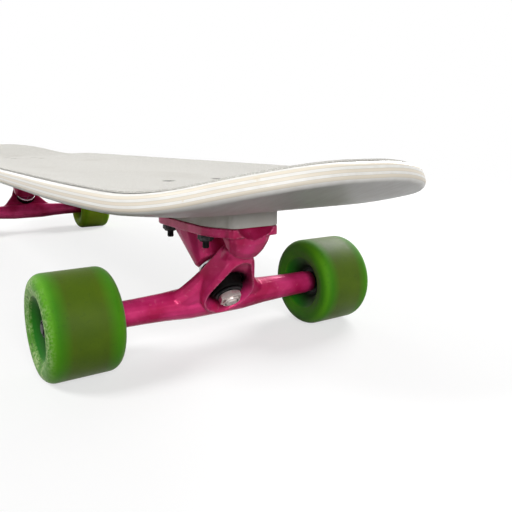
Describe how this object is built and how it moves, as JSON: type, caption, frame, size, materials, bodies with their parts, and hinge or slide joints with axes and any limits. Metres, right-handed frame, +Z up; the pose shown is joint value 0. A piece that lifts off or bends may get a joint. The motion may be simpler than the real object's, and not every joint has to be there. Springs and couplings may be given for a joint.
{
  "type": "skateboard",
  "caption": "Kicked skateboard deck on two cast lean-to-steer trucks with sprung bushings and free-rolling urethane wheels on bearings.",
  "frame": {"origin": "on the ground under the middle of the deck, midway between the axles", "axes": "+X along the axles, -Y towards the nose, +Z up"},
  "size_m": [0.254, 0.914, 0.1402],
  "materials": {
    "pink_paint": "satin magenta powder coat on cast aluminium",
    "white_lacquer": "white lacquered maple laminate",
    "clear_grit": "clear grit sheet over white",
    "white_rubber": "matt white rubber",
    "green_urethane": "cast green urethane, matt with scuffs",
    "lime_urethane": "cast lime urethane, satin",
    "black_urethane": "matt black",
    "zinc_steel": "zinc plated",
    "black_steel": "black oxide",
    "bearing_shield": "black rubber-coated shield",
    "bright_steel": "ground steel"
  },
  "bodies": {
    "deck_and_baseplates": {"deck": "white_lacquer", "grip_sheet": "clear_grit", "front_riser_pad": "white_rubber", "front_baseplate": "pink_paint", "front_pivot_cup": "black_urethane", "front_kingpin": "zinc_steel", "front_cup_washer": "zinc_steel", "front_boardside_bushing": "black_urethane", "front_roadside_bushing": "black_urethane", "front_cone_washer": "black_steel", "front_kingpin_nut": "zinc_steel", "front_end_right_bolt": "black_steel", "front_end_left_bolt": "black_steel", "front_middle_right_bolt": "black_steel", "front_middle_left_bolt": "black_steel", "rear_riser_pad": "white_rubber", "rear_baseplate": "pink_paint", "rear_pivot_cup": "black_urethane", "rear_kingpin": "zinc_steel", "rear_cup_washer": "zinc_steel", "rear_boardside_bushing": "black_urethane", "rear_roadside_bushing": "black_urethane", "rear_cone_washer": "black_steel", "rear_kingpin_nut": "zinc_steel", "rear_end_right_bolt": "black_steel", "rear_end_left_bolt": "black_steel", "rear_middle_right_bolt": "black_steel", "rear_middle_left_bolt": "black_steel"},
    "front_hanger_set": {"front_hanger": "pink_paint", "front_axle": "zinc_steel", "front_right_bearing_sleeve": "bright_steel", "front_right_inner_washer": "bright_steel", "front_right_outer_washer": "bright_steel", "front_right_axle_nut": "zinc_steel", "front_left_bearing_sleeve": "bright_steel", "front_left_inner_washer": "bright_steel", "front_left_outer_washer": "bright_steel", "front_left_axle_nut": "zinc_steel"},
    "front_right_wheel_set": {"front_right_wheel": "green_urethane", "front_right_inner_bearing": "bearing_shield", "front_right_outer_bearing": "bearing_shield"},
    "front_left_wheel_set": {"front_left_wheel": "green_urethane", "front_left_inner_bearing": "bearing_shield", "front_left_outer_bearing": "bearing_shield"},
    "rear_hanger_set": {"rear_hanger": "pink_paint", "rear_axle": "zinc_steel", "rear_right_bearing_sleeve": "bright_steel", "rear_right_inner_washer": "bright_steel", "rear_right_outer_washer": "bright_steel", "rear_right_axle_nut": "zinc_steel", "rear_left_bearing_sleeve": "bright_steel", "rear_left_inner_washer": "bright_steel", "rear_left_outer_washer": "bright_steel", "rear_left_axle_nut": "zinc_steel"},
    "rear_right_wheel_set": {"rear_right_wheel": "lime_urethane", "rear_right_inner_bearing": "bearing_shield", "rear_right_outer_bearing": "bearing_shield"},
    "rear_left_wheel_set": {"rear_left_wheel": "lime_urethane", "rear_left_inner_bearing": "bearing_shield", "rear_left_outer_bearing": "bearing_shield"}
  },
  "joints": [
    {"name": "front_lean", "type": "hinge", "parent": "deck_and_baseplates", "child": "front_hanger_set", "pos_m": [0, -0.31472, 0.05393], "axis": [0, -0.7615, 0.6481], "range_deg": [-15, 15], "stiffness_Nm_per_rad": 40, "deforming": ["front_boardside_bushing", "front_roadside_bushing"]},
    {"name": "rear_lean", "type": "hinge", "parent": "deck_and_baseplates", "child": "rear_hanger_set", "pos_m": [0, 0.31472, 0.05393], "axis": [0, 0.7615, 0.6481], "range_deg": [-15, 15], "stiffness_Nm_per_rad": 40, "deforming": ["rear_boardside_bushing", "rear_roadside_bushing"]},
    {"name": "front_right_roll", "type": "hinge", "parent": "front_hanger_set", "child": "front_right_wheel_set", "pos_m": [-0.103, -0.305, 0.0345], "axis": [1, 0, 0], "continuous": true},
    {"name": "front_left_roll", "type": "hinge", "parent": "front_hanger_set", "child": "front_left_wheel_set", "pos_m": [0.103, -0.305, 0.0345], "axis": [1, 0, 0], "continuous": true},
    {"name": "rear_right_roll", "type": "hinge", "parent": "rear_hanger_set", "child": "rear_right_wheel_set", "pos_m": [-0.103, 0.305, 0.0345], "axis": [1, 0, 0], "continuous": true},
    {"name": "rear_left_roll", "type": "hinge", "parent": "rear_hanger_set", "child": "rear_left_wheel_set", "pos_m": [0.103, 0.305, 0.0345], "axis": [1, 0, 0], "continuous": true}
  ]
}
